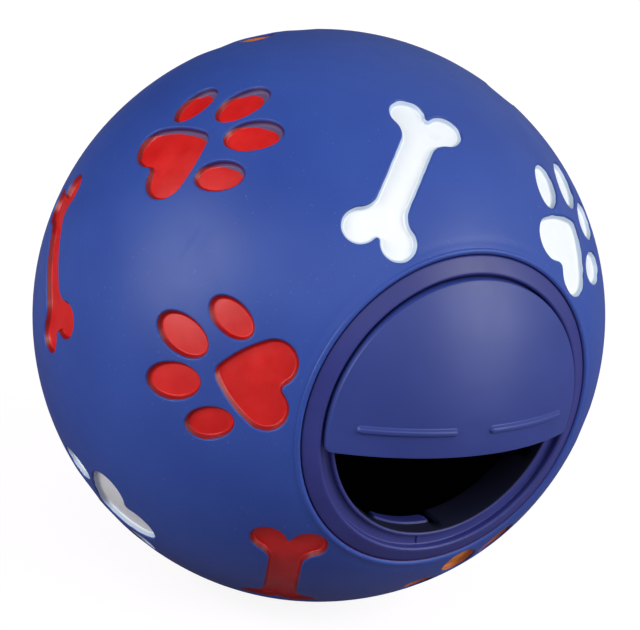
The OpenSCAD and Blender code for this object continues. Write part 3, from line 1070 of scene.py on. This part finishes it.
class Finish:
    """A material whose nodes are laid out by short calls."""

    def __init__(self, name, **sockets):
        self.material = bpy.data.materials.new(name)
        self.material.use_nodes = True
        self.tree = self.material.node_tree
        self.shader = self.tree.nodes["Principled BSDF"]
        set_inputs(self.shader, **sockets)
        self.link = self.tree.links.new
        self.coord = add_node(self.tree, "TexCoord").outputs["Object"]

    def noise(self, scale, detail, rough, stretch=None, distortion=0.0):
        node = add_node(self.tree, "TexNoise", Scale=scale, Detail=detail, Roughness=rough,
                        Distortion=distortion)
        source = self.coord
        if stretch:
            mapping = add_node(self.tree, "Mapping", Scale=stretch)
            self.link(source, mapping.inputs["Vector"])
            source = mapping.outputs["Vector"]
        self.link(source, node.inputs["Vector"])
        return node.outputs["Fac"]

    def length(self, scale=(1, 1, 1)):
        """Distance from the ball's centre, with each axis scaled first."""
        times = add_node(self.tree, "VectorMath")
        times.operation = "MULTIPLY"
        self.link(self.coord, times.inputs[0])
        times.inputs[1].default_value = scale
        node = add_node(self.tree, "VectorMath")
        node.operation = "LENGTH"
        self.link(times.outputs[0], node.inputs[0])
        return node.outputs["Value"]

    def remap(self, value, low, high, to_low=0, to_high=1):
        node = add_node(self.tree, "MapRange", From_Min=low, From_Max=high, To_Min=to_low,
                        To_Max=to_high)
        self.link(value, node.inputs["Value"])
        return node.outputs["Result"]

    def fade(self, distance, start, end, to_low=0, to_high=1):
        """Remaps a distance between start and end, in millimetres."""
        return self.remap(distance, start * MM, end * MM, to_low, to_high)

    def feed(self, socket, value):
        """Links an output to the socket, or sets it to a number or a colour."""
        if isinstance(value, bpy.types.NodeSocket):
            self.link(value, socket)
        else:
            socket.default_value = (*value, 1) if isinstance(value, tuple) else value

    def mix(self, factor, a, b):
        node = add_node(self.tree, "Mix")
        node.data_type = "RGBA"
        for socket, value in zip((node.inputs["Factor"], *node.inputs[6:8]), (factor, a, b)):
            self.feed(socket, value)
        return node.outputs[2]

    def math(self, operation, a, b):
        node = add_node(self.tree, "Math")
        node.operation = operation
        self.feed(node.inputs[0], a)
        self.feed(node.inputs[1], b)
        return node.outputs[0]

    def done(self, colour, roughness, bumps):
        """The material. The bumps lie over each other, each (height, distance in mm)."""
        self.link(colour, self.shader.inputs["Base Color"])
        self.link(roughness, self.shader.inputs["Roughness"])
        before = None
        for height, distance in bumps:
            node = add_node(self.tree, "Bump", Strength=1.0, Distance=distance * MM)
            self.link(height, node.inputs["Height"])
            if before:
                self.link(before, node.inputs["Normal"])
            before = node.outputs["Normal"]
        self.link(before, self.shader.inputs["Normal"])
        return self.material


# Distances from the ball's centre over which a colour changes: at the vinyl's inside, a
# pocket's foot and its wall, at the plastic's bore, and at the paint on a pocket's floor.
# The vinyl's inside, its pockets' walls and the bore are given painted shade there.
INSIDE_ENDS, FOOT_ENDS, WALL_ENDS = (70.0, 70.6), (71.3, 71.65), (71.9, 72.25)
BORE_ENDS = (69.0, 69.8)
FLOOR_ENDS = (71.10, 71.45)


def vinyl_finish():
    """Soft self-coloured vinyl: satin, with a little clouding, bloom, specks, fine scuffs, and
    painted shade inside the ball and on the pockets' walls.
    """
    f = Finish("ball_vinyl", Specular_IOR_Level=0.28, IOR=1.5)
    cloud = f.remap(f.noise(26, 3, 0.55), 0.35, 0.68)
    body = f.mix(cloud, (0.028, 0.066, 0.320), (0.035, 0.082, 0.365))
    speck = f.remap(f.noise(1500, 1, 0.4), 0.735, 0.78, 0, 0.35)
    outside = f.mix(speck, body, (0.16, 0.24, 0.62))
    far = f.length()
    # In a pocket: a grey violet floor where no paint lies, and a dark maroon wall, its red tint
    # overspray and its darkness painted shade.
    pocket = f.mix(f.fade(far, *FOOT_ENDS), (0.13, 0.09, 0.20), (0.045, 0.010, 0.07))
    near_skin = f.mix(f.fade(far, *WALL_ENDS), pocket, outside)
    # Painted shade: the ball's inside is coloured near black.
    colour = f.mix(f.fade(far, *INSIDE_ENDS), (0.010, 0.012, 0.03), near_skin)
    scuff = f.remap(f.noise(38, 4, 0.7, (1, 7, 2.5), 0.6), 0.56, 0.74)
    rough = f.remap(f.noise(75, 3, 0.6), 0.3, 0.7, 0.36, 0.46)
    rough = f.math("ADD", rough, f.math("MULTIPLY", scuff, 0.07))
    return f.done(colour, rough, [(f.noise(14, 2, 0.5), 0.6), (f.noise(820, 2, 0.5), 0.012)])


def plastic_finish(name, dark, light):
    """Hard moulded plastic in a more violet blue, with flow clouding, hairline scuffs and painted
    shade down the barrel's bore.
    """
    f = Finish(name, Specular_IOR_Level=0.42, IOR=1.5)
    cloud = f.remap(f.noise(32, 3, 0.5, (1, 1, 2)), 0.35, 0.68)
    body = f.mix(cloud, dark, light)
    # The barrel's bore gets painted shade, a near black colour. What lies outwards, in front or
    # inwards of it does not.
    across = f.length((1, 0, 1))
    outwards = f.fade(across, BARREL_R + 0.05, BARREL_R + 0.3)
    inwards = f.fade(across, BARREL_R - 0.25, BARREL_R - 0.1, 1, 0)
    in_front = f.fade(f.length(), *BORE_ENDS)
    unshaded_part = f.math("MAXIMUM", f.math("MAXIMUM", outwards, in_front), inwards)
    colour = f.mix(unshaded_part, (0.012, 0.013, 0.035), body)
    hair = f.remap(f.noise(60, 5, 0.75, (14, 1, 1.2), 0.4), 0.60, 0.72)
    rough = f.remap(f.noise(90, 3, 0.6), 0.3, 0.7, 0.38, 0.46)
    rough = f.math("ADD", rough, f.math("MULTIPLY", hair, 0.08))
    return f.done(colour, rough, [(f.noise(22, 2, 0.5), 0.25), (f.noise(1100, 2, 0.5), 0.008)])


def paint_finish(name, dark, light, wall_thin_and_shaded):
    """Sprayed coat: pooled pigment, thinner and darkened by painted shade on the pockets' walls,
    with fine spray texture.
    """
    f = Finish(name, Specular_IOR_Level=0.5, IOR=1.5)
    pool = f.remap(f.noise(120, 3, 0.6), 0.32, 0.7)
    waver = f.remap(f.noise(180, 2, 0.5), 0.3, 0.7, -0.1 * MM, 0.1 * MM)
    # On a pocket's wall the colour turns darker: a thinner coat and painted shade.
    wall = f.fade(f.math("ADD", f.length(), waver), *FLOOR_ENDS)
    colour = f.mix(wall, f.mix(pool, dark, light), wall_thin_and_shaded)
    rough = f.remap(f.noise(260, 2, 0.5), 0.3, 0.7, 0.36, 0.46)
    return f.done(colour, rough, [(f.noise(170, 2, 0.5), 0.09), (f.noise(1400, 2, 0.6), 0.012)])


# Making the pieces

# Each paint's colours: its darker and its lighter patches, and on the pockets' walls, where a
# thinner coat and painted shade make it darker
PAINTS = {
    "red": ((0.58, 0.004, 0.003), (0.71, 0.012, 0.011), (0.26, 0.003, 0.005)),
    "white": ((0.88, 0.91, 0.94), (0.92, 0.95, 0.97), (0.50, 0.60, 0.74)),
    "orange": ((0.76, 0.21, 0.012), (0.86, 0.30, 0.03), (0.55, 0.14, 0.014)),
}

make_ball_skin(vinyl_finish())
make_insert(plastic_finish("insert_plastic", (0.026, 0.032, 0.190), (0.033, 0.042, 0.228)))
make_shutter(plastic_finish("shutter_plastic", (0.027, 0.046, 0.232), (0.034, 0.057, 0.270)))
for paint, colours in PAINTS.items():
    make_paint(paint, paint_finish(paint + "_paint", *colours))


# Floor, light and camera

# The camera's axes in the part's frame: right, up and back towards the camera
RIGHT = Vector((0.8502, -0.5016, 0.1601))
UP = Vector((0.0469, 0.3752, 0.9258))
BACK = Vector((-0.5244, -0.7796, 0.3426))
CAMERA_FAR = 0.725


def make_floor():
    """White floor. The camera sees it lit up, less the ball's shadow; it bounces less light."""
    bm = bmesh.new()
    bmesh.ops.create_grid(bm, x_segments=2, y_segments=2, size=4)
    mesh = bpy.data.meshes.new("floor")
    bm.to_mesh(mesh)
    bm.free()
    floor = bpy.data.objects.new("floor", mesh)
    floor.location.z = -BALL_R * MM
    scene.collection.objects.link(floor)
    f = Finish("floor_white", Roughness=0.7, Specular_IOR_Level=0.1,
               Base_Color=(0.23, 0.19, 0.21, 1), Emission_Color=(1, 1, 1, 1))
    path = add_node(f.tree, "LightPath")
    glow = f.math("MULTIPLY", path.outputs["Is Camera Ray"], 0.88)
    f.link(glow, f.shader.inputs["Emission Strength"])
    mesh.materials.append(f.material)


def make_world():
    """White to the camera. To everything else it is brighter on the right than elsewhere."""
    world = bpy.data.worlds.new("studio")
    scene.world = world
    world.use_nodes = True
    tree = world.node_tree
    tree.nodes.clear()
    lit = add_node(tree, "Background", Color=(0.86, 0.92, 1.0, 1))
    seen = add_node(tree, "Background", Color=(1, 1, 1, 1), Strength=1.0)
    side = add_node(tree, "VectorMath")
    side.operation = "DOT_PRODUCT"
    side.inputs[1].default_value = RIGHT * 0.9 + UP * 0.35
    ramp = add_node(tree, "MapRange", From_Min=-0.1, From_Max=0.9, To_Min=0.04, To_Max=0.55)
    ramp.interpolation_type = "SMOOTHSTEP"
    mix = add_node(tree, "MixShader")
    link = tree.links.new
    link(add_node(tree, "TexCoord").outputs["Generated"], side.inputs[0])
    link(side.outputs["Value"], ramp.inputs["Value"])
    link(ramp.outputs["Result"], lit.inputs["Strength"])
    link(add_node(tree, "LightPath").outputs["Is Camera Ray"], mix.inputs[0])
    link(lit.outputs[0], mix.inputs[1])
    link(seen.outputs[0], mix.inputs[2])
    link(mix.outputs[0], add_node(tree, "OutputWorld").inputs["Surface"])


def make_lamp(name, at, size, energy, glossy=True):
    """Area lamp aimed at the ball. at is how many metres right, up and back it stands."""
    lamp = bpy.data.lights.new(name, "AREA")
    lamp.shape = "RECTANGLE"
    lamp.size, lamp.size_y = size
    lamp.energy = energy
    obj = bpy.data.objects.new(name, lamp)
    obj.location = RIGHT * at[0] + UP * at[1] + BACK * at[2]
    obj.rotation_euler = obj.location.to_track_quat("Z", "Y").to_euler()
    obj.visible_camera = False
    obj.visible_glossy = glossy
    scene.collection.objects.link(obj)


def make_camera():
    camera = bpy.data.cameras.new("camera")
    # Millimetres of sensor and lens, and the shift of the photograph's framing
    camera.sensor_width = 36
    camera.lens = 160.5
    camera.shift_x = 0.0019
    camera.shift_y = 0.0006
    obj = bpy.data.objects.new("camera", camera)
    turn = Matrix((RIGHT, UP, BACK)).transposed().to_4x4()
    obj.matrix_world = Matrix.Translation(BACK * CAMERA_FAR) @ turn
    scene.collection.objects.link(obj)
    bpy.context.scene.camera = obj


make_floor()
make_world()
make_lamp("right", (1.0, 0.22, 0.5), (0.5, 0.8), 7.5)
make_lamp("low", (0.9, -0.3, 0.36), (0.3, 0.12), 0.6)
make_lamp("left", (-0.9, 0.36, 0.68), (0.7, 0.7), 10)
make_lamp("front", (0.0, 0.34, 1.2), (1.4, 0.8), 4)
make_lamp("back", (0.1, 0.45, -0.95), (0.8, 0.3), 3, glossy=False)
make_camera()
bpy.context.scene.view_settings.view_transform = "Standard"
